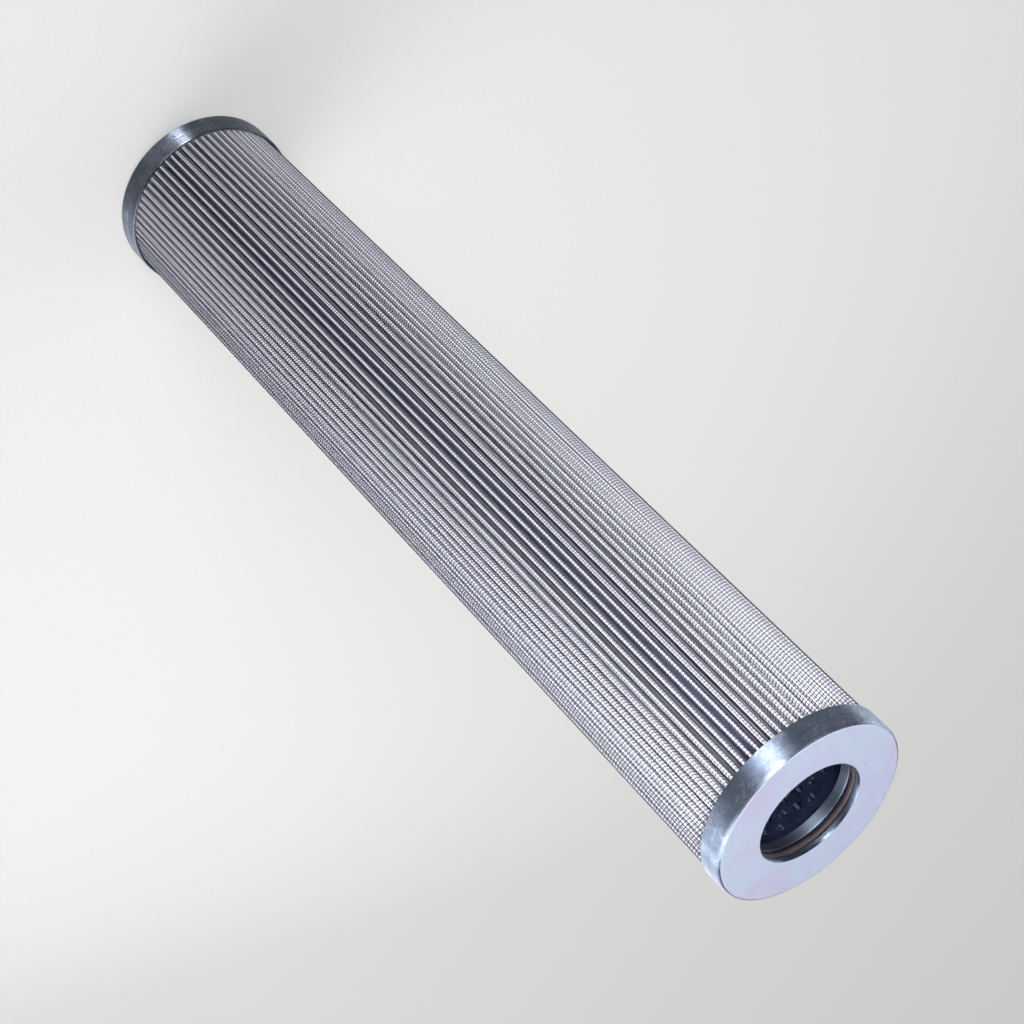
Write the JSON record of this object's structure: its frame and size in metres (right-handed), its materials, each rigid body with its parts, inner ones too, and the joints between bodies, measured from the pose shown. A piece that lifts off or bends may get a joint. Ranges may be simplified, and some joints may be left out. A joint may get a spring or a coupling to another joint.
{
  "type": "hydraulic filter element",
  "caption": "Long cylindrical filter element: a pleated pack under wire cloth on a perforated core tube, with pressed end caps, one closed and one with an O-ring sealed bore.",
  "frame": {"origin": "centre of the closed end's outer face, on which the element stands", "axes": "+Z along the element's axis, from the closed end to the open end; the side seam of the pack lies towards +Y, and the picture sees the -Y side"},
  "size_m": [0.095, 0.095, 0.522],
  "materials": {
    "zinc_plate": "zinc plated and blue passivated, faces satin, rims bright",
    "collar_steel": "turned and zinc plated, bright",
    "seal_rubber": "smooth brown fluorocarbon rubber",
    "tube_steel": "dark perforated steel",
    "wire": "woven steel wire, satin",
    "fleece": "white spunbond web",
    "glass_fibre": "glass fibre web",
    "adhesive": "cured casting resin"
  },
  "bodies": {
    "root": {"open_end_cap": "zinc_plate", "closed_end_cap": "zinc_plate", "seal_collar": "collar_steel", "seal_ring": "seal_rubber", "core_tube": "tube_steel", "outer_wire_cloth": "wire", "outer_fleece": "fleece", "filter_medium": "glass_fibre", "inner_fleece": "fleece", "inner_wire_cloth": "wire", "side_seam": "adhesive", "open_end_potting": "adhesive", "closed_end_potting": "adhesive"}
  },
  "joints": []
}
